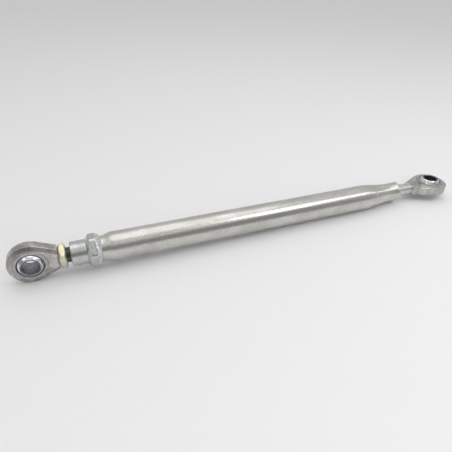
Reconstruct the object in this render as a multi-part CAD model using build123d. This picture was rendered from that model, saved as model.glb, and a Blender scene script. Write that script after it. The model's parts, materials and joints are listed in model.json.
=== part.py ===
from build123d import *
import os
from math import cos, pi, radians, sin, tan

os.makedirs("parts", exist_ok=True)

# Adjustable stabilizer link, in millimetres.
# The origin is the centre of the left ball. +X runs along the link to the right ball,
# the left bore lies along Y and the right bore along Z.

# Link
link_length = 616.0
right_bore_turn = 90.0

# Ball and bearing, the same at both ends
bore_dia = 20.0
bore_chamfer = 0.6
ball_dia = 34.925
ball_width = 25.0
bearing_clearance = 0.05
liner_thickness = 0.5
liner_recess = 0.3
race_dia = 40.0
race_width = 18.0
race_lip_round = 0.8

# Forged eye, the same at both ends
eye_dia = 52.4
eye_rim_width = 11.5
eye_seat_width = 16.5
eye_seat_land = 0.8
eye_flank_angle = 24.0

# Left shank, threaded
thread_dia = 20.0
thread_chamfer = 1.2
relief_dia = 18.0
relief_length = 2.5
left_shoulder = 32.0
left_shank_length = 45.0

# Right shank, plain
right_shank_dia = 19.0
right_shoulder = 42.5
right_shank_blend = 3.0
right_shank_length = 66.0
right_shank_chamfer = 1.5

# Jam nut
nut_flats = 30.0
nut_corner_dia = 34.3
nut_face_dia = 28.2
nut_thickness = 9.0
nut_turn = 32.0
nut_chamfer_angle = 35.0
nut_seat_gap = 0.6
thread_clearance = 0.05
thread_in_view = 4.9

# Threaded adapter
sleeve_dia = 31.2
sleeve_length = 19.2
sleeve_chamfer = 0.8
hex_flats = 38.0
hex_corner_dia = 42.4
hex_face_dia = 32.6
hex_length = 11.8
hex_turn = 12.0
hex_chamfer_angle = 42.0
spigot_length = 18.0
spigot_clearance = 0.05
spigot_chamfer = 1.0

# Tube
tube_dia = 38.0
tube_wall = 3.2
mouth_dia = 32.0
mouth_length = 6.5
mouth_taper = 15.0
mouth_ease = 0.4
tube_end_reach = 71.5

# Squeezed right end of the tube
squeeze_taper = 27.0
squeeze_land = 35.5
lobe_dia = 34.0
valley_clearance = 0.05
valley_sharpness = 1.5
lobes = 4
points_per_lobe = 6
section_count = 7

# Weld bead
bead_reach = 6.3
bead_height = 4.8
bead_crown = 0.5

# Places along the link
nut_start = left_shoulder + nut_seat_gap
adapter_start = nut_start + nut_thickness + thread_in_view
hex_start = adapter_start + sleeve_length
tube_start = hex_start + hex_length
tube_end = link_length - tube_end_reach
land_start = tube_end - squeeze_land
squeeze_start = land_start - squeeze_taper

# Radii that follow from the fits
ball_radius = ball_dia / 2
liner_inner = ball_radius + bearing_clearance
liner_outer = liner_inner + liner_thickness
race_inner = liner_outer + bearing_clearance
thread_bore_dia = thread_dia + 2 * thread_clearance
spigot_radius = mouth_dia / 2 - tube_wall - spigot_clearance
valley_radius = right_shank_dia / 2 + valley_clearance + tube_wall


def turned(*points):
    """Solid turned about X from a closed outline of (x, radius) points."""
    return revolve(Plane.XY * make_face(Polyline(*points, close=True)), Axis.X)


def ball():
    """Ball with flat faces and a through bore along Z, its bore edges chamfered."""
    body = Sphere(ball_radius) & Box(ball_dia, ball_dia, ball_width)
    body -= Cylinder(bore_dia / 2, ball_width)
    mouths = body.edges().filter_by(GeomType.CIRCLE).filter_by(
        lambda edge: abs(edge.radius - bore_dia / 2) < 0.01
    )
    return chamfer(mouths, bore_chamfer)


def liner():
    """Thin spherical ring between ball and race."""
    width = race_width - 2 * liner_recess
    return (Sphere(liner_outer) - Sphere(liner_inner)) & Cylinder(liner_outer, width)


def race():
    """Round insert with a spherical inside and rounded lips."""
    ring = Cylinder(race_dia / 2, race_width)
    rims = ring.edges().filter_by(GeomType.CIRCLE)
    return fillet(rims, race_lip_round) - Sphere(race_inner)


def eye_plan(reach):
    """Outline of the forging seen along its bore: a round eye with straight flanks out to reach."""
    radius = eye_dia / 2
    slope = radians(eye_flank_angle)
    touch_x = radius * sin(slope)
    touch_y = radius * cos(slope)
    end_y = touch_y - (reach - touch_x) * tan(slope)
    flanks = Polyline((touch_x, touch_y), (reach, end_y), (reach, -end_y), (touch_x, -touch_y))
    back = ThreePointArc((touch_x, -touch_y), (-radius, 0), (touch_x, touch_y))
    return make_face(flanks + back)


def forging(shoulder):
    """Eye and neck up to the shoulder: a flat rim all round, both faces sloping up to the race seat."""
    seat_radius = race_dia / 2 + eye_seat_land
    inset = eye_dia / 2 - seat_radius
    rise = (eye_seat_width - eye_rim_width) / 2
    plan = eye_plan(shoulder + 2 * inset)
    body = extrude(plan, eye_rim_width / 2, both=True)
    top = Plane.XY.offset(eye_rim_width / 2) * plan
    crown = extrude(top, rise, taper=90 - Vector(inset, rise, 0).get_angle(Vector(1, 0, 0)))
    body += crown + mirror(crown, Plane.XY)
    body -= Plane.YZ.offset(shoulder) * extrude(Rectangle(2 * eye_dia, 2 * eye_dia), eye_dia)
    return body - Cylinder(race_dia / 2, eye_seat_width)


def left_shank():
    """Threaded shank with a relief groove at the shoulder and a chamfered point."""
    end = left_shoulder + left_shank_length
    return turned(
        (left_shoulder, 0),
        (left_shoulder, relief_dia / 2),
        (left_shoulder + relief_length, relief_dia / 2),
        (left_shoulder + relief_length + thread_chamfer, thread_dia / 2),
        (end - thread_chamfer, thread_dia / 2),
        (end, thread_dia / 2 - thread_chamfer),
        (end, 0),
    )


def right_shank():
    """Plain shank whose root blends into the neck as a short cone."""
    end = right_shoulder + right_shank_length
    radius = right_shank_dia / 2
    return turned(
        (right_shoulder - right_shank_blend, 0),
        (right_shoulder - right_shank_blend, eye_seat_width / 2),
        (right_shoulder, radius),
        (end - right_shank_chamfer, radius),
        (end, radius - right_shank_chamfer),
        (end, 0),
    )


def threaded_hole(start, end):
    """Hole for the thread from start to end, countersunk at both mouths."""
    bore = thread_bore_dia / 2
    mouth = bore + thread_chamfer
    return turned(
        (start, 0),
        (start, mouth),
        (start + thread_chamfer, bore),
        (end - thread_chamfer, bore),
        (end, mouth),
        (end, 0),
    )


def hexagon(flats, corner_dia, face_dia, length, turn, chamfer_angle, both_ends):
    """Hexagon along X from x = 0 with its corners turned down and a cone at one end or at both.

    Its first corner is turned from -Y towards +Z.
    """
    outline = Rot(0, 0, 180 - turn) * RegularPolygon(flats / 2, 6, major_radius=False)
    bar = Plane.YZ * extrude(outline, length)
    face, corner = face_dia / 2, corner_dia / 2
    drop = (corner - face) * tan(radians(chamfer_angle))
    far = [(length - drop, corner), (length, face)] if both_ends else [(length, corner)]
    return bar & turned((0, 0), (0, face), (drop, corner), *far, (length, 0))


def jam_nut():
    """Thin hexagon nut, chamfered on both sides."""
    nut = hexagon(nut_flats, nut_corner_dia, nut_face_dia, nut_thickness, nut_turn, nut_chamfer_angle, True)
    return Pos(nut_start, 0, 0) * (nut - threaded_hole(0, nut_thickness))


def threaded_adapter():
    """Sleeve, hexagon collar and spigot in one piece, bored through for the thread."""
    spigot_end = tube_start + spigot_length
    body = turned(
        (adapter_start, 0),
        (adapter_start, sleeve_dia / 2 - sleeve_chamfer),
        (adapter_start + sleeve_chamfer, sleeve_dia / 2),
        (tube_start, sleeve_dia / 2),
        (tube_start, spigot_radius),
        (spigot_end - spigot_chamfer, spigot_radius),
        (spigot_end, spigot_radius - spigot_chamfer),
        (spigot_end, 0),
    )
    collar = hexagon(hex_flats, hex_corner_dia, hex_face_dia, hex_length, hex_turn, hex_chamfer_angle, False)
    return body + Pos(hex_start, 0, 0) * collar - threaded_hole(adapter_start, spigot_end)


def ease(t):
    """Smooth step from 0 to 1."""
    t = min(max(t, 0.0), 1.0)
    return t * t * (3 - 2 * t)


def lobed_section(x, lobe, valley):
    """Closed smooth section of the squeezed tube at x: broad lobes along Y and Z, sharper valleys between."""
    count = lobes * points_per_lobe
    angles = [2 * pi * i / count for i in range(count)]
    depths = [((1 - cos(lobes * a)) / 2) ** valley_sharpness for a in angles]
    radii = [lobe + (valley - lobe) * depth for depth in depths]
    points = [(r * cos(a), r * sin(a)) for a, r in zip(angles, radii)]
    return Plane.YZ.offset(x) * make_face(Spline(*points, periodic=True))


def squeezed_end(inset):
    """Squeezed right end as a solid, its surface set in by inset."""
    full, lobe = tube_dia / 2 - inset, lobe_dia / 2 - inset
    valley = valley_radius - inset
    faces = [Plane.YZ.offset(squeeze_start) * Circle(full)]
    for step in range(1, section_count):
        share = step / (section_count - 1)
        down = ease(share)
        section = lobed_section(
            squeeze_start + squeeze_taper * share, full + (lobe - full) * down, full + (valley - full) * down
        )
        faces.append(section)
    return loft(faces) + extrude(lobed_section(land_start, lobe, valley), squeeze_land, dir=(1, 0, 0))


def tube_blank(inset):
    """Round length of the tube with its drawn-down mouth, its surface set in by inset."""
    mouth, full = mouth_dia / 2 - inset, tube_dia / 2 - inset
    bend_start = tube_start + mouth_length
    bend_end = bend_start + mouth_taper
    wall = Line((tube_start, mouth), (bend_start, mouth))
    wall += Bezier(
        (bend_start, mouth),
        (bend_start + mouth_taper * mouth_ease, mouth),
        (bend_end - mouth_taper * mouth_ease, full),
        (bend_end, full),
    )
    wall += Polyline(
        (bend_end, full), (squeeze_start, full), (squeeze_start, 0), (tube_start, 0), (tube_start, mouth)
    )
    return revolve(make_face(wall), Axis.X)


def tube():
    """Round tube, drawn down at its left mouth and squeezed to four lobes at its right end."""
    outside = tube_blank(0) + squeezed_end(0)
    inside = tube_blank(tube_wall) + squeezed_end(tube_wall)
    return outside - inside


def weld_bead():
    """Ring of weld between the hexagon collar and the tube's mouth."""
    low, high = mouth_dia / 2, mouth_dia / 2 + bead_height
    root = low - tube_wall / 2
    toe = tube_start + bead_reach
    crown = (tube_start + bead_reach / 2, (low + high) / 2 + bead_crown)
    outline = ThreePointArc((tube_start, high), crown, (toe, low))
    outline += Polyline((toe, low), (toe, root), (tube_start, root), (tube_start, high))
    return revolve(make_face(outline), Axis.X) - tube_blank(0)


def left_end(piece):
    """Place a piece of the left eye: its bore along Y."""
    return Rot(90, 0, 0) * piece


def right_end(piece):
    """Place a piece of the right eye: its shank towards the tube, turned about the link."""
    return Pos(link_length, 0, 0) * Rot(90 - right_bore_turn, 0, 0) * Rot(0, 0, 180) * piece


nodes = {
    "left_rod_end_body": left_end(forging(left_shoulder) + left_shank()),
    "left_race": left_end(race()),
    "left_liner": left_end(liner()),
    "left_ball": left_end(ball()),
    "jam_nut": jam_nut(),
    "threaded_adapter": threaded_adapter(),
    "weld_bead": weld_bead(),
    "tube": tube(),
    "right_rod_end_body": right_end(forging(right_shoulder) + right_shank()),
    "right_race": right_end(race()),
    "right_liner": right_end(liner()),
    "right_ball": right_end(ball()),
}

for name, shape in nodes.items():
    export_step(shape, f"parts/{name}.step")
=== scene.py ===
"""Adjustable stabilizer link: its finished pieces, their materials, the floor, light and camera.

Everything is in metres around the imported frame. The origin is the centre of the left ball,
+X runs along the link to the right ball, the left bore lies along Y, the right bore along Z.
"""

import json
from math import asin, atan2, cos, exp, hypot, pi, radians, sin, sqrt, tan

import bmesh
import bpy
from bpy.props import FloatProperty, FloatVectorProperty, IntProperty, PointerProperty
from mathutils import Matrix, Vector


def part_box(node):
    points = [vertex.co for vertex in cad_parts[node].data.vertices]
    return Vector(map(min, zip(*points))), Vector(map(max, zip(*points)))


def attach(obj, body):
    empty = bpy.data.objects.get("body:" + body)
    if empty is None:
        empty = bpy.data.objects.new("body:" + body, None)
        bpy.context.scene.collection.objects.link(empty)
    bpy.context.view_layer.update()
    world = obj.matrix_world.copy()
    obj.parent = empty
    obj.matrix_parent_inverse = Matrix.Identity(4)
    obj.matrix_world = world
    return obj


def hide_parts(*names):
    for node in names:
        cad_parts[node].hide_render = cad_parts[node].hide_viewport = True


bl_info = {
    "name": "Stabilizer Link",
    "version": (1, 0, 0),
    "blender": (4, 5, 0),
    "location": "3D View > Sidebar > Link",
    "description": "Builds an adjustable stabilizer link with a lined ball joint at each end",
    "category": "Object",
}

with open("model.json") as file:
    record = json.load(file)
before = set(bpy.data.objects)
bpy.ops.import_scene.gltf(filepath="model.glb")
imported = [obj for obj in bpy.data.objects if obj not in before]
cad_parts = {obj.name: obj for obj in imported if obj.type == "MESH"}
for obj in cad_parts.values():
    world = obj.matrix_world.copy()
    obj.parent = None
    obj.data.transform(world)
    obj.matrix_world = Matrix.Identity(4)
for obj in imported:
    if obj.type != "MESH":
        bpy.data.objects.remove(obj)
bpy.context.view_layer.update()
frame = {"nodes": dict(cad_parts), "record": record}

MM = 0.001
X, Y, Z = Vector((1, 0, 0)), Vector((0, 1, 0)), Vector((0, 0, 1))
TURN = 2 * pi

# Places and sizes read from the frame
ball_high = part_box("left_ball")[1]
race_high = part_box("left_race")[1]
far_low, far_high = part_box("right_ball")
nut_low, nut_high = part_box("jam_nut")
adapter_low, adapter_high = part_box("threaded_adapter")
bead_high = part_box("weld_bead")[1]
tube_low, tube_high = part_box("tube")
shank_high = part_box("left_rod_end_body")[1]
LINK_LENGTH = (far_low.x + far_high.x) / 2
BALL_RADIUS = ball_high.x
BALL_HALF_WIDTH = ball_high.y
RACE_RADIUS = race_high.x
RACE_HALF_WIDTH = race_high.y
EYE_RADIUS = -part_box("left_rod_end_body")[0].x
THREAD_RADIUS = shank_high.y
TUBE_RADIUS = tube_high.y

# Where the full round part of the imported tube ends, on which the link's right side rests
FULL_TUBE_END = tube_high.x - 62.5 * MM

# Steps round a full turn, and the distances at which points count as one or as lying on a face
EYE_STEPS, SHANK_STEPS, THREAD_STEPS, HEX_STEPS, WELD_STEPS, TUBE_STEPS = 144, 96, 48, 120, 504, 168
MERGE, NEAR = 0.001 * MM, 0.01 * MM
# Steps along a rounded corner, and the angle from which an edge is broken
ROUND_CUTS, SHARP_EDGE = 4, radians(25)


def length(name, about, default):
    """A size in metres for the sidebar."""
    return FloatProperty(name=name, description=about, default=default, min=0, unit="LENGTH", precision=5)


def angle(name, about, default):
    """An angle for the sidebar, given in degrees."""
    return FloatProperty(name=name, description=about, default=radians(default), unit="ROTATION")


def tint(name, about, default):
    """A colour for the sidebar."""
    return FloatVectorProperty(
        name=name, description=about, default=default, subtype="COLOR", size=3, min=0, max=1
    )


class EyeSizes(bpy.types.PropertyGroup):
    """Sizes of the two forged eyes and their bearings."""

    rim_width: length("Rim width", "Width of the flat rim round the eye", 11.5 * MM)
    seat_width: length("Seat width", "Thickness of the eye at the race seat", 16.5 * MM)
    seat_land: length("Seat land", "Flat ring left round the race seat", 0.8 * MM)
    flank_angle: angle("Flank angle", "Slope of the neck's flanks to the link", 24)
    edge_round: length("Edge round", "Rounding of the forging's edges", 0.7 * MM)
    left_shoulder: length("Left shoulder", "Left ball centre to the end of the neck", 32 * MM)
    right_shoulder: length("Right shoulder", "Right ball centre to the end of the neck", 42.5 * MM)
    bore_radius: length("Bore radius", "Radius of the bore through each ball", 10 * MM)
    bore_chamfer: length("Bore chamfer", "Chamfer at each end of the bore", 0.6 * MM)
    clearance: length("Clearance", "Running clearance on each side of the liner", 0.05 * MM)
    liner: length("Liner", "Thickness of the liner", 0.5 * MM)
    lip_round: length("Lip round", "Rounding of the race's outer lip", 1.2 * MM)
    liner_mouth: length("Liner mouth", "Radius of the liner's thicker mouth", 16.2 * MM)
    liner_recess: length("Liner recess", "Step from the race's face down to the liner", 0.45 * MM)
    mouth_round: length("Mouth round", "Rounding of the race's inner edges", 0.3 * MM)
    ball_round: length("Ball round", "Rounding between the ball and its flat faces", 0.2 * MM)


class ShankSizes(bpy.types.PropertyGroup):
    """Sizes of the threaded and plain shanks."""

    pitch: length("Pitch", "Travel of the thread in one turn", 1.5 * MM)
    depth: length("Thread depth", "Crest to root", 0.92 * MM)
    relief_radius: length("Relief radius", "Radius of the groove behind the thread", 9 * MM)
    relief_length: length("Relief length", "Length of the groove behind the thread", 2.5 * MM)
    plain_radius: length("Plain radius", "Radius of the plain right shank", 9.5 * MM)
    plain_length: length("Plain length", "Shoulder to the end of the right shank", 66 * MM)
    plain_blend: length("Plain blend", "Length of the cone at the plain shank's root", 1.2 * MM)
    end_chamfer: length("End chamfer", "Chamfer at the end of the plain shank", 1.5 * MM)
    run_out: length("Run-out", "Length over which the thread starts behind its groove", 1.2 * MM)


class HexSizes(bpy.types.PropertyGroup):
    """Sizes of the jam nut and of the adapter's hexagon collar."""

    nut_flats: length("Nut across flats", "Jam nut across flats", 30 * MM)
    nut_corners: length("Nut corner radius", "Radius the nut's corners are turned to", 17.15 * MM)
    nut_face: length("Nut face radius", "Radius of the nut's flat faces", 13.3 * MM)
    nut_slope: angle("Nut chamfer", "Angle of the nut's chamfers", 38)
    nut_turn: angle("Nut turn", "First corner turned up from the front", 30)
    thread_gap: length("Thread gap", "Radial clearance round the thread", 0.05 * MM)
    countersink: length("Countersink", "Countersink at each thread mouth", 1.2 * MM)
    sleeve_radius: length("Sleeve radius", "Radius of the adapter's sleeve", 15.6 * MM)
    sleeve_length: length("Sleeve length", "Length of the sleeve in view", 19.2 * MM)
    sleeve_chamfer: length("Sleeve chamfer", "Chamfer at the sleeve's mouth", 0.8 * MM)
    collar_flats: length("Collar across flats", "Hexagon collar across flats", 38 * MM)
    collar_corners: length("Collar corner radius", "Radius the collar's corners are turned to", 21.2 * MM)
    collar_face: length("Collar face radius", "Smallest radius of the collar's cone", 16.3 * MM)
    collar_slope: angle("Collar cone", "Angle of the collar's cone", 42)
    collar_turn: angle("Collar turn", "First corner turned up from the front", 12)
    spigot_radius: length("Spigot radius", "Radius of the part inside the tube", 12.75 * MM)
    spigot_chamfer: length("Spigot chamfer", "Chamfer at the end inside the tube", 1 * MM)
    edge_break: length("Edge break", "Width of the broken edges", 0.22 * MM)


class TubeSizes(bpy.types.PropertyGroup):
    """Sizes of the tube, its drawn mouth, its squeezed end and the weld."""

    wall: length("Wall", "Wall thickness of the tube", 3.2 * MM)
    mouth_radius: length("Mouth radius", "Radius of the drawn left mouth", 16 * MM)
    mouth_length: length("Mouth length", "Straight part of the drawn mouth", 6.5 * MM)
    mouth_taper: length("Mouth taper", "Length over which the mouth opens to the full tube", 15 * MM)
    squeeze_taper: length("Squeeze taper", "Length over which the top and bottom come down", 30 * MM)
    hug_taper: length("Hug taper", "Length over which the front and back come down", 52 * MM)
    squeeze_land: length("Squeeze land", "Length from the end of the taper to the cut end", 33.5 * MM)
    squeezed_radius: length("Squeezed radius", "Radius at the front and back of the cut end", 14.2 * MM)
    grip_radius: length("Grip radius", "Inside radius of the squeezed end", 9.6 * MM)
    upper_start: length("Upper ridge start", "Height of the upper ridge where the taper ends", 14.5 * MM)
    upper_end: length("Upper ridge end", "Height of the upper ridge at the cut end", 16.5 * MM)
    lower_start: length("Lower ridge start", "Depth of the lower ridge where the taper ends", 18.2 * MM)
    lower_end: length("Lower ridge end", "Depth of the lower ridge at the cut end", 18.0 * MM)
    ridge_power: FloatProperty(
        name="Ridge sharpness", description="How narrow the two ridges are", default=14.0
    )
    end_round: length("End round", "Rounding of the tube's cut end", 0.7 * MM)
    mark_depth: length("Mark depth", "Depth of the deepest press mark on the taper", 1.1 * MM)
    mark_size: length("Mark size", "Half width of one press mark", 0.75 * MM)
    mark_reach: length("Mark reach", "Distance of the press marks from the end of the taper", 8 * MM)
    marks: IntProperty(name="Marks", description="Press marks in the row", default=5, min=0)
    bead_height: length("Bead height", "Rise of the weld at the collar", 4.8 * MM)
    bead_crown: length("Bead crown", "Bulge of the weld over its chord", 0.5 * MM)
    ripple: length("Ripple", "Height of the weld's ripples", 0.26 * MM)
    ripples: IntProperty(name="Ripples", description="Ripples round the weld", default=66, min=8)
    unevenness: length("Unevenness", "Height of the weld's slow waves", 0.22 * MM)
    bead_sink: length("Bead sink", "How far the whole weld is drawn in", 0.1 * MM)


class FinishColours(bpy.types.PropertyGroup):
    """Colours of the finishes and the floor."""

    forged: tint("Forged steel", "Blasted forging", (0.6, 0.59, 0.565))
    forged_dark: tint("Forged hollows", "Darker hollows of the forging", (0.33, 0.32, 0.3))
    forged_brown: tint("Forged stain", "Brown heat stain on the forging", (0.27, 0.235, 0.19))
    # The thread's dark colour is painted shade for the gaps beside the jam nut.
    shadowed: tint("Oiled thread", "Dark oiled thread", (0.16, 0.16, 0.165))
    ground: tint("Ground shank", "Smooth plain shank", (0.72, 0.71, 0.68))
    bored: tint("Ball bore", "Bored inside of each ball", (0.3, 0.31, 0.34))
    race: tint("Race", "Turned race", (0.5, 0.49, 0.5))
    liner: tint("Liner", "Woven liner", (0.035, 0.035, 0.045))
    chrome: tint("Chrome", "Ball", (0.8, 0.8, 0.82))
    yellow: tint("Yellow plate", "Yellow zinc of the jam nut", (0.73, 0.685, 0.5))
    zinc: tint("Machined zinc", "Clear zinc on the adapter", (0.66, 0.665, 0.655))
    weld: tint("Weld", "Plated weld", (0.82, 0.83, 0.86))
    tube: tint("Tube", "Clear zinc on the tube", (0.7, 0.692, 0.668))
    tube_dark: tint("Tube stain", "Dull olive stain on the tube", (0.54, 0.525, 0.475))
    floor: tint("Floor", "Matt table", (0.88, 0.877, 0.895))


# Outlines and turned shapes


def arc(radius, start, end, steps):
    """Points of an arc about the origin, as (along the axis, radius), from one angle to the other."""
    sweep = [start + (end - start) * i / steps for i in range(steps + 1)]
    return [(radius * sin(a), radius * cos(a)) for a in sweep]


def eased(outline, closed=True):
    """Outline whose points may carry a rounding: (along, radius, rounding) becomes a short curve."""
    soft = []
    for i, (along, radius, *rounding) in enumerate(outline):
        corner = Vector((along, radius))
        end_point = not closed and i in (0, len(outline) - 1)
        if not rounding or end_point:
            soft.append(tuple(corner))
            continue
        before = (Vector(outline[i - 1][:2]) - corner).normalized() * rounding[0]
        after = (Vector(outline[(i + 1) % len(outline)][:2]) - corner).normalized() * rounding[0]
        for step in range(ROUND_CUTS + 1):
            t = step / ROUND_CUTS
            soft.append(tuple(corner + before * (1 - t) ** 2 + after * t ** 2))
    return soft


def spun(outline, axis, across, steps, closed=True):
    """Mesh turned through a full circle about an axis from an outline of (along the axis, radius)."""
    bm = bmesh.new()
    verts = [bm.verts.new(axis * along + across * radius) for along, radius in outline]
    edges = [bm.edges.new(pair) for pair in zip(verts, verts[1:])]
    if closed:
        edges.append(bm.edges.new((verts[-1], verts[0])))
    bmesh.ops.spin(
        bm, geom=verts + edges, cent=(0, 0, 0), axis=axis, dvec=(0, 0, 0), angle=TURN, steps=steps,
        use_merge=True,
    )
    bmesh.ops.remove_doubles(bm, verts=bm.verts, dist=MERGE)
    bmesh.ops.recalc_face_normals(bm, faces=bm.faces)
    return bm


def cut(bm, place, normal):
    """Cut a closed mesh with a plane, drop what lies past it and close the cut."""
    geom = bm.verts[:] + bm.edges[:] + bm.faces[:]
    made = bmesh.ops.bisect_plane(
        bm, geom=geom, dist=MERGE / 2, plane_co=place, plane_no=normal, clear_outer=True
    )
    rim = [item for item in made["geom_cut"] if isinstance(item, bmesh.types.BMEdge)]
    return bmesh.ops.contextual_create(bm, geom=rim)["faces"]


def join(bm, other):
    """Add another mesh to bm as its own closed shell."""
    mesh = bpy.data.meshes.new("shell")
    other.to_mesh(mesh)
    other.free()
    bm.from_mesh(mesh)
    bpy.data.meshes.remove(mesh)


def corner_direction(turn):
    """Direction of a hexagon's first corner, turned from the front up about the link."""
    return Vector((0, -cos(turn), sin(turn)))


def trim_to_hexagon(bm, first_corner, flats, corners, face, slope, low, high):
    """Push a turned blank in to a hexagon. Its low end, and its high end if given, slope to a cone."""
    sideways = X.cross(first_corner)
    for vert in bm.verts:
        height, side = vert.co.dot(first_corner), vert.co.dot(sideways)
        radius = hypot(height, side)
        if radius < face + NEAR:
            continue
        from_flat = (atan2(side, height) % (pi / 3)) - pi / 6
        trimmed = min(flats / 2 / cos(from_flat), corners)
        drop = (trimmed - face) * tan(slope)
        if abs(vert.co.x - low) < NEAR:
            vert.co.x += drop
        if high is not None and abs(vert.co.x - high) < NEAR:
            vert.co.x -= drop
        vert.co.yz = vert.co.yz * (trimmed / radius)


def break_edges(bm, width):
    """Bevel the sharp edges of a closed mesh."""
    bm.normal_update()
    sharp = [e for e in bm.edges if e.is_manifold and e.calc_face_angle(0) > SHARP_EDGE]
    bmesh.ops.bevel(
        bm, geom=sharp, offset=width, offset_type="OFFSET", segments=2, profile=0.5, affect="EDGES",
        clamp_overlap=True, material=-1,
    )


def piece(name, bm, body, slot, nodes=(), place=None, sharp=38, finish=None):
    """Make a mesh a named piece that rides on its body and stands for its CAD nodes."""
    if place is not None:
        bm.transform(place)
    mesh = bpy.data.meshes.new(name)
    bm.to_mesh(mesh)
    bm.free()
    mesh.shade_smooth()
    mesh.set_sharp_from_angle(angle=radians(sharp))
    mesh.materials.append(bpy.data.materials[finish or FINISH_OF_SLOT[slot]])
    made = bpy.data.objects.new(name, mesh)
    bpy.context.scene.collection.objects.link(made)
    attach(made, body)
    if nodes:
        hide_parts(*nodes)
    return made


def eye_place(side):
    """From an eye's own axes, bore along Z and shank along +X, to the link's axes."""
    if side == "left":
        return Matrix.Rotation(pi / 2, 4, "X")
    return Matrix.Translation((LINK_LENGTH, 0, 0)) @ Matrix.Rotation(pi, 4, "Z")


# Materials


def shader_of(name):
    """New material with object-space coordinates: returns its tree, its shader and the coordinates."""
    material = bpy.data.materials.new(name)
    material.use_nodes = True
    tree = material.node_tree
    coords = tree.nodes.new("ShaderNodeTexCoord").outputs["Object"]
    return tree, tree.nodes["Principled BSDF"], coords


def wire_up(tree, shader, colour, roughness, normal, metallic=1.0):
    """Lead a finish's colour, roughness and bump to its shader."""
    tree.links.new(colour, shader.inputs["Base Color"])
    tree.links.new(roughness, shader.inputs["Roughness"])
    tree.links.new(normal, shader.inputs["Normal"])
    shader.inputs["Metallic"].default_value = metallic


def stretched(tree, coords, scale):
    """Coordinates scaled by axis, so that a grain runs longer one way."""
    node = tree.nodes.new("ShaderNodeMapping")
    node.inputs["Scale"].default_value = scale
    tree.links.new(coords, node.inputs["Vector"])
    return node.outputs["Vector"]


def noise(tree, coords, scale, detail, roughness=0.55, distortion=0.0):
    """Noise value for the coordinates."""
    node = tree.nodes.new("ShaderNodeTexNoise")
    node.inputs["Scale"].default_value = scale
    node.inputs["Detail"].default_value = detail
    node.inputs["Roughness"].default_value = roughness
    node.inputs["Distortion"].default_value = distortion
    tree.links.new(coords, node.inputs["Vector"])
    return node.outputs["Fac"]


def pits(tree, coords, scale):
    """Small pits: the distance to scattered points."""
    node = tree.nodes.new("ShaderNodeTexVoronoi")
    node.inputs["Scale"].default_value = scale
    tree.links.new(coords, node.inputs["Vector"])
    return node.outputs["Distance"]


def turned_lines(tree, coords, scale, distortion):
    """Fine turned lines across the link."""
    node = tree.nodes.new("ShaderNodeTexWave")
    node.wave_type = "BANDS"
    node.bands_direction = "X"
    node.inputs["Scale"].default_value = scale
    node.inputs["Distortion"].default_value = distortion
    node.inputs["Detail"].default_value = 3.0
    node.inputs["Detail Scale"].default_value = 2.0
    tree.links.new(coords, node.inputs["Vector"])
    return node.outputs["Fac"]


def spread(tree, value, low, high, to_low, to_high):
    """Map a value from one range to another, held inside it."""
    node = tree.nodes.new("ShaderNodeMapRange")
    node.inputs["From Min"].default_value = low
    node.inputs["From Max"].default_value = high
    node.inputs["To Min"].default_value = to_low
    node.inputs["To Max"].default_value = to_high
    tree.links.new(value, node.inputs["Value"])
    return node.outputs["Result"]


def mixed(tree, share, first, second):
    """Mix two colours, each given as numbers or as a socket."""
    node = tree.nodes.new("ShaderNodeMix")
    node.data_type = "RGBA"
    tree.links.new(share, node.inputs["Factor"])
    for socket, colour in ((node.inputs[6], first), (node.inputs[7], second)):
        if isinstance(colour, bpy.types.NodeSocket):
            tree.links.new(colour, socket)
        else:
            socket.default_value = (*colour, 1)
    return node.outputs[2]


def bumped(tree, height, distance, strength, under=None):
    """Bump normal of a height, laid over another where given."""
    node = tree.nodes.new("ShaderNodeBump")
    node.inputs["Strength"].default_value = strength
    node.inputs["Distance"].default_value = distance
    tree.links.new(height, node.inputs["Height"])
    if under is not None:
        tree.links.new(under, node.inputs["Normal"])
    return node.outputs["Normal"]


def shaded(colour, share):
    """A colour made darker or lighter by a share."""
    return [share * channel for channel in colour]


def blasted_forging(colours):
    """Blasted forging: fine grit, shallow scale hollows, duller patches and brown stains."""
    tree, shader, coords = shader_of("blasted_forging")
    grit = noise(tree, coords, 2600, 3)
    hollows = noise(tree, coords, 230, 5, 0.6)
    patches = noise(tree, coords, 48, 4, 0.6, 0.4)
    stains = noise(tree, coords, 75, 5, 0.65, 0.8)
    worn = spread(tree, patches, 0.42, 0.56, 0.15, 1.0)
    base = mixed(tree, worn, colours.forged_dark, colours.forged)
    stained = mixed(tree, spread(tree, stains, 0.5, 0.62, 0.0, 0.35), base, colours.forged_brown)
    specks = spread(tree, hollows, 0.36, 0.5, 0.55, 1.0)
    colour = mixed(tree, specks, colours.forged_dark, stained)
    roughness = spread(tree, hollows, 0.3, 0.7, 0.4, 0.2)
    low = bumped(tree, hollows, 0.2 * MM, 0.3)
    pitted = bumped(tree, pits(tree, coords, 620), 0.06 * MM, 0.2, low)
    wire_up(tree, shader, colour, roughness, bumped(tree, grit, 0.03 * MM, 0.3, pitted))


def turned_race(colours):
    """Turned race: light handling marks over duller patches."""
    tree, shader, coords = shader_of("turned_race")
    marks = noise(tree, coords, 900, 4)
    patches = spread(tree, noise(tree, coords, 120, 3), 0.35, 0.65, 0, 1)
    colour = mixed(tree, patches, shaded(colours.race, 0.72), colours.race)
    roughness = spread(tree, marks, 0.3, 0.7, 0.2, 0.34)
    wire_up(tree, shader, colour, roughness, bumped(tree, marks, 0.02 * MM, 0.35))


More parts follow.
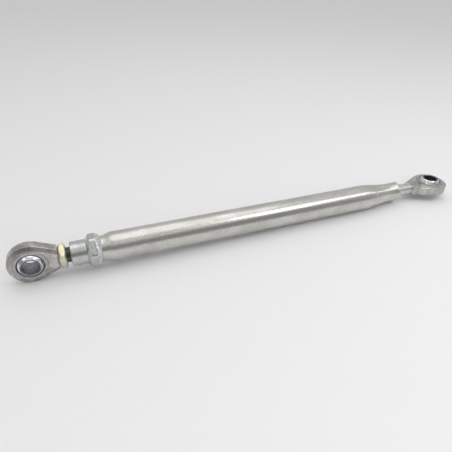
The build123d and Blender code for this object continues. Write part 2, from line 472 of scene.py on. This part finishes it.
def oiled_thread(colours):
    """Thread painted dark as shade for the gaps beside the jam nut, brighter where it is rubbed."""
    tree, shader, coords = shader_of("oiled_thread")
    rub = noise(tree, coords, 500, 4, 0.6)
    rubbed = spread(tree, rub, 0.52, 0.68, 0, 1)
    colour = mixed(tree, rubbed, colours.shadowed, shaded(colours.shadowed, 2.4))
    roughness = spread(tree, rub, 0.3, 0.7, 0.42, 0.24)
    wire_up(tree, shader, colour, roughness, bumped(tree, rub, 0.02 * MM, 0.4))


def ground_shank(colours):
    """Plain shank ground smooth: close lines round it and a few dull stains."""
    tree, shader, coords = shader_of("ground_shank")
    lines = noise(tree, stretched(tree, coords, (2600, 60, 60)), 1, 3)
    stain = noise(tree, coords, 150, 4, 0.6, 0.6)
    clean = spread(tree, stain, 0.38, 0.62, 0, 1)
    colour = mixed(tree, clean, shaded(colours.ground, 0.7), colours.ground)
    roughness = spread(tree, stain, 0.3, 0.7, 0.42, 0.28)
    wire_up(tree, shader, colour, roughness, bumped(tree, lines, 0.01 * MM, 0.4))


def bored_steel(colours):
    """Bore and flat faces of a ball: duller than the ball, with a fine grain and an oily film."""
    tree, shader, coords = shader_of("bored_steel")
    grain = noise(tree, coords, 1400, 3)
    film = spread(tree, noise(tree, coords, 190, 4, 0.6), 0.35, 0.65, 0, 1)
    colour = mixed(tree, film, shaded(colours.bored, 0.6), colours.bored)
    roughness = spread(tree, grain, 0.3, 0.7, 0.34, 0.48)
    wire_up(tree, shader, colour, roughness, bumped(tree, grain, 0.015 * MM, 0.4))


def woven_liner(colours):
    """Dark matt liner with a fine weave."""
    tree, shader, coords = shader_of("woven_liner")
    weave = pits(tree, coords, 2400)
    colour = mixed(tree, weave, colours.liner, shaded(colours.liner, 2.2))
    roughness = spread(tree, weave, 0, 1, 0.6, 0.85)
    wire_up(tree, shader, colour, roughness, bumped(tree, weave, 0.05 * MM, 0.6), metallic=0.0)


def polished_ball(colours):
    """Polished ball with faint haze and hair scratches."""
    tree, shader, coords = shader_of("polished_ball")
    haze = noise(tree, coords, 140, 4)
    scratches = noise(tree, stretched(tree, coords, (900, 60, 900)), 3, 2)
    clear = spread(tree, haze, 0.3, 0.7, 0, 1)
    colour = mixed(tree, clear, shaded(colours.chrome, 0.93), colours.chrome)
    roughness = spread(tree, haze, 0.3, 0.75, 0.05, 0.12)
    wire_up(tree, shader, colour, roughness, bumped(tree, scratches, 0.004 * MM, 0.2))


def yellow_plate(colours):
    """Yellow plated nut: pale uneven plate, with painted shade making its lower side darker and greyer."""
    tree, shader, coords = shader_of("yellow_plate")
    cloud = noise(tree, coords, 110, 4, 0.6, 0.5)
    drawn = noise(tree, stretched(tree, coords, (240, 2400, 2400)), 1, 4)
    red, green, blue = colours.yellow
    pale = [min(1, 1.04 * channel + 0.03) for channel in colours.yellow]
    plate = mixed(tree, spread(tree, cloud, 0.42, 0.56, 0, 1), colours.yellow, pale)
    # Painted shade: below the nut's axis the plate colour is mixed toward a darker grey.
    height = tree.nodes.new("ShaderNodeSeparateXYZ")
    tree.links.new(coords, height.inputs["Vector"])
    lower_shade = spread(tree, height.outputs["Z"], -4 * MM, 4 * MM, 0.95, 0.0)
    colour = mixed(tree, lower_shade, plate, (0.72 * red, 0.75 * green, 0.95 * blue))
    roughness = spread(tree, drawn, 0.3, 0.7, 0.24, 0.4)
    wire_up(tree, shader, colour, roughness, bumped(tree, drawn, 0.02 * MM, 0.5), metallic=0.9)


def clear_plate(colours):
    """Machined adapter under clear zinc: turned lines across the link and a faint green-violet cast."""
    tree, shader, coords = shader_of("clear_plate")
    cloud = noise(tree, coords, 90, 4, 0.6, 0.6)
    streaks = noise(tree, stretched(tree, coords, (1800, 240, 240)), 1, 4)
    red, green, blue = colours.zinc
    greenish, violet = (0.93 * red, green, 0.93 * blue), (red, 0.96 * green, 1.02 * blue)
    base = mixed(tree, spread(tree, cloud, 0.4, 0.6, 0, 1), greenish, violet)
    dull = spread(tree, streaks, 0.42, 0.64, 0.0, 0.55)
    colour = mixed(tree, dull, base, shaded(colours.zinc, 0.5))
    roughness = spread(tree, streaks, 0.3, 0.7, 0.16, 0.3)
    turned = bumped(tree, turned_lines(tree, coords, 520, 1.2), 0.012 * MM, 0.5)
    wire_up(tree, shader, colour, roughness, bumped(tree, streaks, 0.015 * MM, 0.5, turned))


def plated_weld(colours):
    """Bright plated weld with a little soot."""
    tree, shader, coords = shader_of("plated_weld")
    soot = noise(tree, coords, 420, 5, 0.65)
    grain = noise(tree, coords, 1900, 3)
    clean = spread(tree, soot, 0.38, 0.52, 0, 1)
    colour = mixed(tree, clean, shaded(colours.weld, 0.5), colours.weld)
    roughness = spread(tree, soot, 0.3, 0.7, 0.4, 0.2)
    wire_up(tree, shader, colour, roughness, bumped(tree, grain, 0.03 * MM, 0.5))


def drawn_zinc(colours):
    """Drawn tube under clear zinc: long streaks, cloudy stains, flecks and small handling dings."""
    tree, shader, coords = shader_of("drawn_zinc")
    draw_lines = noise(tree, stretched(tree, coords, (18, 900, 900)), 1, 5, 0.6)
    cloud = noise(tree, stretched(tree, coords, (26, 60, 60)), 1, 5, 0.62, 0.5)
    speckle = noise(tree, coords, 700, 3)
    dings = pits(tree, stretched(tree, coords, (45, 120, 120)), 1)
    clean = spread(tree, cloud, 0.4, 0.62, 0.25, 1.0)
    base = mixed(tree, clean, colours.tube_dark, colours.tube)
    streaks = spread(tree, draw_lines, 0.4, 0.65, 0.0, 0.35)
    streaked = mixed(tree, streaks, base, shaded(colours.tube, 0.72))
    flecks = spread(tree, speckle, 0.54, 0.64, 0.0, 0.45)
    colour = mixed(tree, flecks, streaked, shaded(colours.tube, 0.55))
    roughness = spread(tree, cloud, 0.35, 0.65, 0.3, 0.22)
    lines = bumped(tree, draw_lines, 0.02 * MM, 0.5)
    knocks = bumped(tree, spread(tree, dings, 0.0, 0.14, 0.0, 1.0), 0.04 * MM, 0.5, lines)
    wire_up(tree, shader, colour, roughness, bumped(tree, speckle, 0.012 * MM, 0.4, knocks))


def pale_floor(colours):
    """Matt off-white table."""
    tree, shader, coords = shader_of("pale_floor")
    fleck = noise(tree, coords, 60, 4)
    colour = mixed(tree, fleck, shaded(colours.floor, 0.985), colours.floor)
    roughness = spread(tree, fleck, 0, 1, 0.55, 0.7)
    wire_up(tree, shader, colour, roughness, bumped(tree, fleck, 0.05 * MM, 0.1), metallic=0.0)


FINISHES = (
    blasted_forging, turned_race, oiled_thread, ground_shank, bored_steel, woven_liner, polished_ball,
    yellow_plate, clear_plate, plated_weld, drawn_zinc, pale_floor,
)
FINISH_OF_SLOT = {
    "forged_steel": "blasted_forging",
    "race_steel": "turned_race",
    "liner": "woven_liner",
    "ball_chrome": "polished_ball",
    "yellow_zinc": "yellow_plate",
    "machined_zinc": "clear_plate",
    "weld_metal": "plated_weld",
    "tube_zinc": "drawn_zinc",
}


# Pieces


def eye_head(sizes, shoulder):
    """Forged eye and neck about its bore along Z, up to the shoulder on +X."""
    rim, seat = sizes.rim_width / 2, sizes.seat_width / 2
    land_radius = RACE_RADIUS + sizes.seat_land
    inset = EYE_RADIUS - land_radius
    outline = eased([
        (-rim, EYE_RADIUS, sizes.edge_round), (rim, EYE_RADIUS, sizes.edge_round),
        (seat, land_radius, sizes.edge_round / 2), (seat, RACE_RADIUS, sizes.edge_round / 6),
        (-seat, RACE_RADIUS, sizes.edge_round / 6), (-seat, land_radius, sizes.edge_round / 2),
    ])
    bm = spun(outline, Z, X, EYE_STEPS)
    touch = pi / 2 - sizes.flank_angle
    reach = shoulder + 2 * inset
    for vert in bm.verts:
        radius, about = vert.co.xy.length, abs(atan2(vert.co.y, vert.co.x))
        if radius < land_radius - sizes.edge_round or about > touch:
            continue
        flank = min(radius / cos(touch - about), reach / cos(about))
        vert.co.xy = vert.co.xy * (flank / radius)
    end_faces = cut(bm, X * shoulder, X)
    edges = {edge for face in end_faces for edge in face.edges}
    bmesh.ops.bevel(
        bm, geom=list(edges), offset=sizes.edge_round / 2, offset_type="OFFSET", segments=2, profile=0.5,
        affect="EDGES", clamp_overlap=True, material=-1,
    )
    bmesh.ops.recalc_face_normals(bm, faces=bm.faces)
    return bm


# One thread tooth: shares of the pitch where the root ends and where the crest starts and ends
ROOT_END, CREST_START, CREST_END = 1 / 4, 9 / 16, 11 / 16
SPARE_TURNS = 2


def thread(sizes, start, end):
    """Right-hand thread along X as a closed bar, wound past both ends and cut at start and end."""
    root, crest, pitch = THREAD_RADIUS - sizes.depth, THREAD_RADIUS, sizes.pitch
    tooth = [(0, root), (ROOT_END, root), (CREST_START, crest), (CREST_END, crest), (1, root)]
    turns = int((end - start) / pitch) + SPARE_TURNS + 1
    bm = bmesh.new()
    verts = [bm.verts.new((start + (share - SPARE_TURNS) * pitch, 0, radius)) for share, radius in tooth]
    edges = [bm.edges.new(pair) for pair in zip(verts, verts[1:])]
    bmesh.ops.spin(
        bm, geom=verts + edges, cent=(0, 0, 0), axis=X, dvec=X * (pitch / THREAD_STEPS), angle=TURN * turns,
        steps=turns * THREAD_STEPS,
    )
    bmesh.ops.remove_doubles(bm, verts=bm.verts, dist=2 * MERGE)
    cut(bm, X * start, -X)
    cut(bm, X * end, X)
    bmesh.ops.recalc_face_normals(bm, faces=bm.faces)
    return bm


class LINK_OT_eyes(bpy.types.Operator):
    """Forge both eyes: the left one with its threaded shank, the right one with its plain shank"""

    bl_idname = "link.eyes"
    bl_label = "Forged eyes"

    def execute(self, context):
        sizes, shanks = context.scene.link_eye, context.scene.link_shank
        start = sizes.left_shoulder
        left = eye_head(sizes, start)
        left.transform(eye_place("left"))
        sunk, slack, cap = 1 * MM, 0.2 * MM, 0.3 * MM
        relieved = start + shanks.relief_length
        groove = [
            (start - sunk, 0), (start - sunk, shanks.relief_radius), (relieved, shanks.relief_radius),
            (relieved + shanks.run_out, THREAD_RADIUS - slack), (relieved + shanks.run_out + cap, 0),
        ]
        piece("left_eye_forging", left, "left_eye", "forged_steel", ["left_rod_end_body"])
        cut_thread = spun(groove, X, Z, SHANK_STEPS, closed=False)
        join(cut_thread, thread(shanks, relieved + shanks.run_out / 2, shank_high.x - slack))
        # The thread and its groove carry the dark painted-shade finish.
        piece("left_thread", cut_thread, "left_eye", "forged_steel", finish="oiled_thread")

        start = sizes.right_shoulder
        right = eye_head(sizes, start)
        end = start + shanks.plain_length
        sunk, root_round, step_round = 6 * MM, 0.4 * MM, 0.6 * MM
        root_radius = sizes.seat_width / 2 - 0.3 * MM
        bar = [
            (start - sunk, 0), (start - sunk, root_radius),
            (start - shanks.plain_blend, root_radius, root_round),
            (start, shanks.plain_radius, step_round), (end - shanks.end_chamfer, shanks.plain_radius),
            (end, shanks.plain_radius - shanks.end_chamfer), (end, 0),
        ]
        place = eye_place("right")
        piece("right_eye_forging", right, "link_tube", "forged_steel", ["right_rod_end_body"], place)
        plain = spun(eased(bar, closed=False), X, Z, SHANK_STEPS, closed=False)
        piece("right_plain_shank", plain, "link_tube", "forged_steel", place=place, finish="ground_shank")
        return {"FINISHED"}


# Cuts along the arcs of the race's seat and the liner's inside, the liner's outside and the ball's crown
SEAT_CUTS, SHELL_CUTS, CROWN_CUTS = 24, 20, 44


class LINK_OT_bearings(bpy.types.Operator):
    """Turn the race, the liner and the chrome ball of each eye"""

    bl_idname = "link.bearings"
    bl_label = "Races, liners and balls"

    def execute(self, context):
        sizes = context.scene.link_eye
        liner_inner = BALL_RADIUS + sizes.clearance
        liner_outer = liner_inner + sizes.liner
        race_inner = liner_outer + sizes.clearance
        lining_half = RACE_HALF_WIDTH - sizes.liner_recess
        mouth_radius = sizes.liner_mouth
        step = sqrt(race_inner ** 2 - mouth_radius ** 2)
        bodies = {"left": "left_eye", "right": "link_tube"}
        for side, body in bodies.items():
            place = eye_place(side)
            lip = asin(step / race_inner)
            seat = arc(race_inner, lip, -lip, SEAT_CUTS)
            ring = [
                (-RACE_HALF_WIDTH, RACE_RADIUS, sizes.lip_round),
                (RACE_HALF_WIDTH, RACE_RADIUS, sizes.lip_round),
                (RACE_HALF_WIDTH, mouth_radius, sizes.mouth_round), *seat,
                (-RACE_HALF_WIDTH, mouth_radius, sizes.mouth_round),
            ]
            race = spun(eased(ring), Z, X, EYE_STEPS)
            piece(f"{side}_race_ring", race, body, "race_steel", [f"{side}_race"], place)

            outer, inner = asin(step / liner_outer), asin(lining_half / liner_inner)
            rim = mouth_radius - sizes.clearance
            lining = [
                (-lining_half, rim), *arc(liner_outer, -outer, outer, SHELL_CUTS), (lining_half, rim),
                *arc(liner_inner, inner, -inner, SEAT_CUTS),
            ]
            shell = spun(lining, Z, X, EYE_STEPS)
            piece(f"{side}_liner_ring", shell, f"{side}_lining", "liner", [f"{side}_liner"], place)

            face = asin(BALL_HALF_WIDTH / BALL_RADIUS)
            crown = arc(BALL_RADIUS, -face, face, CROWN_CUTS)
            bore, mouth = sizes.bore_radius, sizes.bore_radius + sizes.bore_chamfer
            ball = [
                (BALL_HALF_WIDTH, mouth), (BALL_HALF_WIDTH - sizes.bore_chamfer, bore),
                (-BALL_HALF_WIDTH + sizes.bore_chamfer, bore), (-BALL_HALF_WIDTH, mouth),
            ]
            ends = [(*crown[0], sizes.ball_round), *crown[1:-1], (*crown[-1], sizes.ball_round)]
            chrome = spun(eased(ends + ball), Z, X, EYE_STEPS)
            face_radius = sqrt(BALL_RADIUS ** 2 - BALL_HALF_WIDTH ** 2) - 0.75 * sizes.ball_round
            for polygon in chrome.faces:
                polygon.material_index = int(polygon.calc_center_median().xy.length < face_radius)
            made = piece(
                f"{side}_chrome_ball", chrome, f"{side}_swivel_ball", "ball_chrome", [f"{side}_ball"], place
            )
            made.data.materials.append(bpy.data.materials["bored_steel"])
        return {"FINISHED"}


class LINK_OT_nut(bpy.types.Operator):
    """Cut the slim hexagon jam nut, chamfered on both sides"""

    bl_idname = "link.nut"
    bl_label = "Jam nut"

    def execute(self, context):
        sizes = context.scene.link_hex
        low, high = nut_low.x, nut_high.x
        bore = THREAD_RADIUS + sizes.thread_gap
        mouth = bore + sizes.countersink
        outline = [
            (low, mouth), (low, sizes.nut_face), (low, sizes.nut_corners), (high, sizes.nut_corners),
            (high, sizes.nut_face), (high, mouth), (high - sizes.countersink, bore),
            (low + sizes.countersink, bore),
        ]
        first = corner_direction(sizes.nut_turn)
        bm = spun(outline, X, first, HEX_STEPS)
        trim_to_hexagon(
            bm, first, sizes.nut_flats, sizes.nut_corners, sizes.nut_face, sizes.nut_slope, low, high
        )
        break_edges(bm, sizes.edge_break)
        piece("plated_jam_nut", bm, "lock_nut", "yellow_zinc", ["jam_nut"], sharp=30)
        return {"FINISHED"}


class LINK_OT_adapter(bpy.types.Operator):
    """Machine the adapter: sleeve, hexagon collar with its cone, and the spigot inside the tube"""

    bl_idname = "link.adapter"
    bl_label = "Threaded adapter"

    def execute(self, context):
        sizes = context.scene.link_hex
        low, high = adapter_low.x, adapter_high.x
        cone, collar_end = low + sizes.sleeve_length, tube_low.x
        bore = THREAD_RADIUS + sizes.thread_gap
        mouth = bore + sizes.countersink
        outline = [
            (low, mouth), (low, sizes.sleeve_radius - sizes.sleeve_chamfer),
            (low + sizes.sleeve_chamfer, sizes.sleeve_radius),
            (cone, sizes.sleeve_radius), (cone, sizes.collar_face), (cone, sizes.collar_corners),
            (collar_end, sizes.collar_corners), (collar_end, sizes.spigot_radius),
            (high - sizes.spigot_chamfer, sizes.spigot_radius),
            (high, sizes.spigot_radius - sizes.spigot_chamfer),
            (high, mouth), (high - sizes.countersink, bore), (low + sizes.countersink, bore),
        ]
        first = corner_direction(sizes.collar_turn)
        bm = spun(outline, X, first, HEX_STEPS)
        trim_to_hexagon(
            bm, first, sizes.collar_flats, sizes.collar_corners, sizes.collar_face, sizes.collar_slope,
            cone, None,
        )
        break_edges(bm, sizes.edge_break)
        piece("hex_collar_adapter", bm, "link_tube", "machined_zinc", ["threaded_adapter"], sharp=30)
        return {"FINISHED"}


# Cuts across the weld and the lean of its crown to the tube, the bow of its crescents and where on the
# bead it sits, how sharp they are and how fast they fade to the edges, and slow waves round the bead
BEAD_CUTS, LEAN = 18, 0.4
BOW, BOW_CENTRE, CREST_POWER, FADE = 20.8, 0.45, 1.6, 6
SLOW_WAVES = ((0.5, 5, 1.3), (0.35, 11, 4.1), (0.25, 23, 0.0))


class LINK_OT_weld(bpy.types.Operator):
    """Lay the rippled weld between the collar and the tube's mouth"""

    bl_idname = "link.weld"
    bl_label = "Weld bead"

    def execute(self, context):
        sizes = context.scene.link_tube_sizes
        start, toe = tube_low.x, bead_high.x
        base = sizes.mouth_radius
        reach, height = toe - start, sizes.bead_height
        into_collar, into_tube, skin = 0.2 * MM, 0.4 * MM, 0.05 * MM
        outline = [(start - into_collar, base - into_tube), (start - into_collar, base + height)]
        for step in range(1, BEAD_CUTS + 1):
            share = step / BEAD_CUTS
            bulge = sizes.bead_crown * 4 * share * (1 - share)
            outline.append((start + reach * share + LEAN * bulge, base + height * (1 - share) + bulge))
        outline.append((toe, base - into_tube))
        bm = spun(outline, X, Z, WELD_STEPS)
        bm.normal_update()
        lifts = {}
        for vert in bm.verts:
            radius = hypot(vert.co.y, vert.co.z)
            share = (vert.co.x - start) / reach
            if radius < base + skin or share < 0:
                continue
            about = atan2(vert.co.z, vert.co.y)
            crescent = about * sizes.ripples - BOW * (share - BOW_CENTRE) ** 2
            ripple = sizes.ripple * (0.5 + 0.5 * cos(crescent)) ** CREST_POWER
            slow = sum(part * sin(waves * about + phase) for part, waves, phase in SLOW_WAVES)
            window = max(0.0, min(1.0, FADE * share, FADE * (1 - share)))
            lifts[vert] = window * (ripple + sizes.unevenness * slow - sizes.bead_sink)
        for vert, lift in lifts.items():
            vert.co += vert.normal * lift
        piece("rippled_weld_bead", bm, "link_tube", "weld_metal", ["weld_bead"], sharp=60)
        return {"FINISHED"}


# Cuts along the tube's mouth taper, round body, squeezed taper and land
MOUTH_CUTS, BODY_CUTS, TAPER_CUTS, LAND_CUTS = 16, 24, 52, 18
# Row of press marks on the taper: its first mark above the front, the step between marks, its slant
MARKS_FROM, MARKS_APART, MARKS_SLANT = radians(10), radians(9), -1.2 * MM


def smooth(t):
    """Ease from 0 to 1 without a kink at either end."""
    t = min(max(t, 0.0), 1.0)
    return t * t * (3 - 2 * t)


def places(low, high, steps):
    """Evenly spaced places from low up to, but without, high."""
    return [low + (high - low) * i / steps for i in range(steps)]


def squeezed(sizes, co, land, radius):
    """Outer radius of the squeezed end at a point whose turned radius is given."""
    squeeze = land - sizes.squeeze_taper
    along = max(0.0, (co.x - land) / sizes.squeeze_land)
    upper = sizes.upper_start + (sizes.upper_end - sizes.upper_start) * along
    lower = sizes.lower_start + (sizes.lower_end - sizes.lower_start) * along
    crest = upper if co.z > 0 else lower
    crest = TUBE_RADIUS + (crest - TUBE_RADIUS) * smooth((co.x - squeeze) / sizes.squeeze_taper)
    body = TUBE_RADIUS + (sizes.squeezed_radius - TUBE_RADIUS) * smooth((co.x - squeeze) / sizes.hug_taper)
    ridge = abs(sin(atan2(co.z, co.y))) ** sizes.ridge_power
    return body + (crest - body) * ridge + radius - TUBE_RADIUS


def press_depth(sizes, co, mark_line, radius):
    """Depth of the row of press marks at a point of the tube's outside."""
    depth = 0.0
    for number in range(sizes.marks):
        aside = (atan2(co.z, -co.y) - MARKS_FROM - number * MARKS_APART) * radius
        ahead = co.x - mark_line - number * MARKS_SLANT
        struck = sizes.mark_depth * (1 + number) / sizes.marks
        depth += struck * exp(-(hypot(aside, ahead) / sizes.mark_size) ** 2)
    return depth


class LINK_OT_tube(bpy.types.Operator):
    """Draw the tube: its narrowed mouth, its long round body and its squeezed end with two ridges"""

    bl_idname = "link.tube"
    bl_label = "Tube"

    def execute(self, context):
        sizes = context.scene.link_tube_sizes
        start, end = tube_low.x, tube_high.x
        land = end - sizes.squeeze_land
        squeeze = land - sizes.squeeze_taper
        bend = start + sizes.mouth_length
        full_start = bend + sizes.mouth_taper
        stations = [start, *places(bend, full_start, MOUTH_CUTS), *places(full_start, squeeze, BODY_CUTS)]
        stations += [*places(squeeze, land, TAPER_CUTS), *places(land, end - sizes.end_round, LAND_CUTS)]
        opened = TUBE_RADIUS - sizes.mouth_radius
        openings = [smooth((x - bend) / sizes.mouth_taper) for x in stations]
        outer = [(x, sizes.mouth_radius + opened * share) for x, share in zip(stations, openings)]
        inner = [(x, radius - sizes.wall) for x, radius in outer]
        lip = [(end, TUBE_RADIUS, sizes.end_round), (end, TUBE_RADIUS - sizes.wall, sizes.end_round)]
        bm = spun(eased(outer + lip + inner[::-1]), X, Y, TUBE_STEPS)
        for vert in bm.verts:
            down = smooth((vert.co.x - squeeze) / sizes.squeeze_taper)
            if down <= 0:
                continue
            radius = hypot(vert.co.y, vert.co.z)
            if radius < TUBE_RADIUS - sizes.wall / 2:
                section = radius + (sizes.grip_radius - radius) * down
            else:
                section = squeezed(sizes, vert.co, land, radius)
                section -= press_depth(sizes, vert.co, land - sizes.mark_reach, section)
            vert.co.yz = vert.co.yz * (section / radius)
        bmesh.ops.recalc_face_normals(bm, faces=bm.faces)
        piece("drawn_tube", bm, "link_tube", "tube_zinc", ["tube"])
        return {"FINISHED"}


# Stage

# Brightness of the room by height, 0 at the horizon and 1 overhead: a dark front, paler beside and behind
ROOM_FRONT = ((0.0, 0.5), (0.08, 0.36), (0.2, 0.28), (0.5, 0.28), (0.6, 0.4), (0.68, 0.7), (1.0, 0.72))
ROOM_ASIDE = ((0.0, 0.5), (0.5, 0.6), (1.0, 0.75))
ROOM_BEHIND = ((0.0, 0.6), (0.3, 0.6), (0.6, 0.68), (1.0, 0.75))
# Where the walls beside and behind fade in along X and Y, and the backdrop that the camera sees
ASIDE_FADE, BEHIND_FADE = (0.5, 0.85), (-0.1, 0.45)
BACKDROP = (0.86, 0.86, 0.88, 1)

# Lamps: name, place, size along the link, size across, power in watts, colour
LAMPS = (
    ("window", (0.85, -0.5, 0.9), 0.36, 0.36, 1.0, (1.0, 1.0, 1.0)),
    ("long_window", (1.3, -0.38, 0.84), 1.7, 0.24, 1.45, (0.97, 0.98, 1.0)),
    ("warm_lamp", (-0.85, -0.38, 1.1), 0.16, 0.16, 1.2, (1.0, 0.86, 0.5)),
    ("overhead", (0.3, 0.25, 1.5), 1.6, 1.6, 4.6, (1.0, 0.99, 0.98)),
    ("front_fill", (0.3, -1.3, 0.55), 0.9, 0.9, 3.6, (1.0, 1.0, 1.0)),
)

# The camera's place, the directions to its right and up, its lens and film width in mm
CAMERA_PLACE = (0.05797, -0.45818, 0.33208)
CAMERA_RIGHT, CAMERA_UP = Vector((0.928, -0.3711, 0.0332)), Vector((0.1821, 0.5294, 0.8286))
LENS, FILM_WIDTH = 34.25, 36

# Half the table's width and the gap below the link
TABLE_HALF, TABLE_GAP = 10, 0.1 * MM


def banded(tree, value, stops):
    """Grey level that follows a row of (place, level) stops."""
    node = tree.nodes.new("ShaderNodeValToRGB")
    node.color_ramp.interpolation = "EASE"
    tree.links.new(value, node.inputs["Fac"])
    bands = node.color_ramp.elements
    bands[0].position, bands[1].position = stops[0][0], stops[-1][0]
    bands[0].color, bands[1].color = (*[stops[0][1]] * 3, 1), (*[stops[-1][1]] * 3, 1)
    for place, level in stops[1:-1]:
        bands.new(place).color = (level, level, level, 1)
    return node.outputs["Color"]


class LINK_OT_studio(bpy.types.Operator):
    """Lay the pale floor, hang the soft lights and set the camera"""

    bl_idname = "link.studio"
    bl_label = "Floor, light and camera"

    def execute(self, context):
        scene = context.scene
        bm = bmesh.new()
        bmesh.ops.create_grid(bm, x_segments=4, y_segments=4, size=TABLE_HALF)
        rise = (EYE_RADIUS - TUBE_RADIUS) / FULL_TUBE_END
        bm.transform(Matrix.Translation((0, 0, -EYE_RADIUS - TABLE_GAP)) @ Matrix.Rotation(-rise, 4, "Y"))
        mesh = bpy.data.meshes.new("table_top")
        bm.to_mesh(mesh)
        bm.free()
        mesh.materials.append(bpy.data.materials["pale_floor"])
        table = bpy.data.objects.new("table_top", mesh)
        scene.collection.objects.link(table)

        for name, place, along, across, power, colour in LAMPS:
            light = bpy.data.lights.new(name, "AREA")
            light.shape = "ELLIPSE"
            light.size, light.size_y = along, across
            light.energy = power
            light.color = colour
            lamp = bpy.data.objects.new(name, light)
            lamp.location = place
            lamp.rotation_euler = (atan2(-place[1], place[2]), 0, 0)
            lamp.visible_glossy = name != "front_fill"
            scene.collection.objects.link(lamp)

        scene.view_settings.view_transform = "Standard"
        world = bpy.data.worlds.new("soft_room")
        scene.world = world
        world.use_nodes = True
        tree = world.node_tree
        tree.nodes.clear()
        coords = tree.nodes.new("ShaderNodeTexCoord").outputs["Generated"]
        split = tree.nodes.new("ShaderNodeSeparateXYZ")
        tree.links.new(coords, split.inputs["Vector"])
        front = banded(tree, split.outputs["Z"], ROOM_FRONT)
        behind = banded(tree, split.outputs["Z"], ROOM_BEHIND)
        aside = spread(tree, split.outputs["X"], *ASIDE_FADE, 0.0, 1.0)
        front = mixed(tree, aside, front, banded(tree, split.outputs["Z"], ROOM_ASIDE))
        rear = spread(tree, split.outputs["Y"], *BEHIND_FADE, 0.0, 1.0)
        room = tree.nodes.new("ShaderNodeBackground")
        tree.links.new(mixed(tree, rear, front, behind), room.inputs["Color"])
        wall = tree.nodes.new("ShaderNodeBackground")
        wall.inputs["Color"].default_value = BACKDROP
        seen = tree.nodes.new("ShaderNodeLightPath").outputs["Is Camera Ray"]
        mix = tree.nodes.new("ShaderNodeMixShader")
        tree.links.new(seen, mix.inputs["Fac"])
        tree.links.new(room.outputs[0], mix.inputs[1])
        tree.links.new(wall.outputs[0], mix.inputs[2])
        tree.links.new(mix.outputs[0], tree.nodes.new("ShaderNodeOutputWorld").inputs["Surface"])

        lens = bpy.data.cameras.new("camera")
        lens.sensor_width, lens.lens = FILM_WIDTH, LENS
        lens.clip_start, lens.clip_end = 0.02, 60
        camera = bpy.data.objects.new("camera", lens)
        right = CAMERA_RIGHT.normalized()
        back = CAMERA_RIGHT.cross(CAMERA_UP).normalized()
        turn = Matrix((right, back.cross(right), back)).transposed().to_4x4()
        camera.matrix_world = Matrix.Translation(CAMERA_PLACE) @ turn
        scene.collection.objects.link(camera)
        scene.camera = camera
        return {"FINISHED"}


class LINK_OT_finishes(bpy.types.Operator):
    """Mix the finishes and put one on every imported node"""

    bl_idname = "link.finishes"
    bl_label = "Finishes"

    def execute(self, context):
        for finish in FINISHES:
            finish(context.scene.link_colours)
        for row in frame["record"]["subparts"]:
            node = frame["nodes"][row["node"]]
            node.data.materials.clear()
            node.data.materials.append(bpy.data.materials[FINISH_OF_SLOT[row["material_slot"]]])
        return {"FINISHED"}


OPERATORS = (
    LINK_OT_finishes, LINK_OT_eyes, LINK_OT_bearings, LINK_OT_nut, LINK_OT_adapter, LINK_OT_weld,
    LINK_OT_tube, LINK_OT_studio,
)
GROUPS = {
    "link_eye": EyeSizes,
    "link_shank": ShankSizes,
    "link_hex": HexSizes,
    "link_tube_sizes": TubeSizes,
    "link_colours": FinishColours,
}


class LINK_PT_sidebar(bpy.types.Panel):
    """Sidebar list of the steps that build the link"""

    bl_idname = "LINK_PT_sidebar"
    bl_label = "Stabilizer Link"
    bl_space_type = "VIEW_3D"
    bl_region_type = "UI"
    bl_category = "Link"

    def draw(self, context):
        for step in OPERATORS:
            self.layout.operator(step.bl_idname)
        for name, group in GROUPS.items():
            box = self.layout.box()
            for size in group.__annotations__:
                box.prop(getattr(context.scene, name), size)


CLASSES = (*GROUPS.values(), *OPERATORS, LINK_PT_sidebar)


def register():
    """Register the sizes, the steps and the sidebar."""
    for item in CLASSES:
        bpy.utils.register_class(item)
    for name, group in GROUPS.items():
        setattr(bpy.types.Scene, name, PointerProperty(type=group))


def unregister():
    """Take the sidebar, the steps and the sizes away again."""
    for name in GROUPS:
        delattr(bpy.types.Scene, name)
    for item in reversed(CLASSES):
        bpy.utils.unregister_class(item)


def main():
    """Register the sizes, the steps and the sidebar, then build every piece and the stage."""
    register()
    for step in OPERATORS:
        group, name = step.bl_idname.split(".")
        getattr(getattr(bpy.ops, group), name)()


if __name__ == "__main__":
    main()
